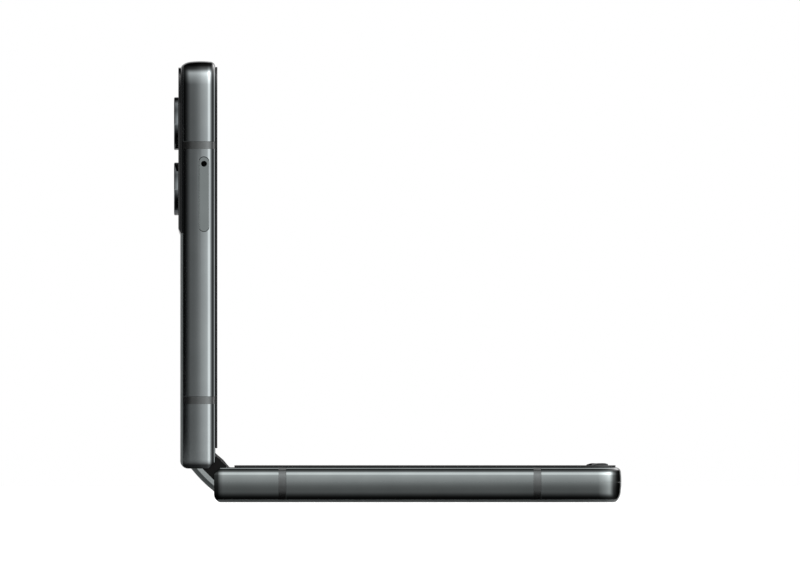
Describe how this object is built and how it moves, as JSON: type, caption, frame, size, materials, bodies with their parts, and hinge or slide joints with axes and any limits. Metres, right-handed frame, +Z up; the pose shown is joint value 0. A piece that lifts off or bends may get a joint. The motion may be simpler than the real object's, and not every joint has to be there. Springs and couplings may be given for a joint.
{
  "type": "foldable smartphone",
  "caption": "Clamshell foldable phone standing open at a right angle on its lower half, with a sprung-detent spine hinge, two rear cameras, keys and a SIM tray.",
  "frame": {"origin": "middle of the footprint on the surface that the phone lies on, below the middle of its whole box", "axes": "+X from the fold towards the free end of the lower half, +Y across the phone towards the side with the keys, +Z up along the lid"},
  "size_m": [0.0906, 0.0722, 0.0893],
  "materials": {
    "rail": "satin",
    "camera_metal": "satin",
    "antenna_plastic": "matte",
    "back_glass": "matte",
    "dark_glass": "gloss",
    "display": "gloss",
    "lip": "matte",
    "bumper": "matte",
    "steel": "satin",
    "bronze": "satin",
    "battery_foil": "satin",
    "circuit_board": "satin",
    "module_plastic": "matte",
    "lens": "gloss",
    "flash_lens": "gloss"
  },
  "bodies": {
    "base": {"base_frame": "rail", "base_antenna_bands": "antenna_plastic", "base_back_cover": "back_glass", "base_display_lip": "lip", "base_bumpers": "bumper", "base_display_panel": "display", "base_support_sheet": "steel", "base_hinge_arms": "steel", "base_screws": "steel", "base_battery": "battery_foil", "charging_coil": "bronze", "sub_board": "circuit_board", "usb_socket": "steel", "usb_tongue": "lip", "loudspeaker": "module_plastic", "microphone": "steel", "vibration_motor": "steel"},
    "spine": {"spine_cover": "rail", "spine_end_caps": "lip", "hinge_brackets": "steel", "hinge_shafts": "steel", "detent_followers": "bronze", "detent_springs": "steel", "crease_support": "steel", "crease_strip": "display", "hinge_flex_cable": "bronze"},
    "lid": {"lid_frame": "rail", "lid_antenna_bands": "antenna_plastic", "lid_back_cover": "back_glass", "lid_display_lip": "lip", "lid_display_panel": "display", "lid_support_sheet": "steel", "lid_hinge_arms": "steel", "lid_screws": "steel", "lid_battery": "battery_foil", "main_board": "circuit_board", "shield_cans": "steel", "sim_reader": "steel", "key_switches": "bronze", "cover_glass": "dark_glass", "cover_display": "display", "camera_rings": "camera_metal", "camera_lenses": "lens", "camera_modules": "module_plastic", "flash": "flash_lens", "selfie_camera": "module_plastic", "earpiece": "module_plastic"},
    "volume_key": {"volume_key": "rail"},
    "side_key": {"side_key": "rail"},
    "sim_tray": {"sim_tray": "rail"}
  },
  "joints": [
    {"name": "base_fold", "type": "hinge", "parent": "base", "child": "spine", "pos_m": [-0.03436, 0, 0.0055], "axis": [0, 1, 0], "range_deg": [-45, 45.4]},
    {"name": "lid_fold", "type": "hinge", "parent": "spine", "child": "lid", "pos_m": [-0.03847, 0, 0.0096], "axis": [0, 1, 0], "range_deg": [-45, 45.4]},
    {"name": "volume_rock", "type": "hinge", "parent": "lid", "child": "volume_key", "pos_m": [-0.04027, 0.03383, 0.0607], "axis": [1, 0, 0], "range_deg": [-1.1, 1.1], "stiffness_Nm_per_rad": 2},
    {"name": "side_press", "type": "slide", "parent": "lid", "child": "side_key", "axis": [0, -1, 0], "range_m": [0, 0.00025], "stiffness_N_per_m": 4000},
    {"name": "tray_slide", "type": "slide", "parent": "lid", "child": "sim_tray", "axis": [0, -1, 0], "range_m": [0, 0.019]}
  ],
  "couplings": [
    {"joint": "lid_fold", "follows": "base_fold", "ratio": 1}
  ]
}
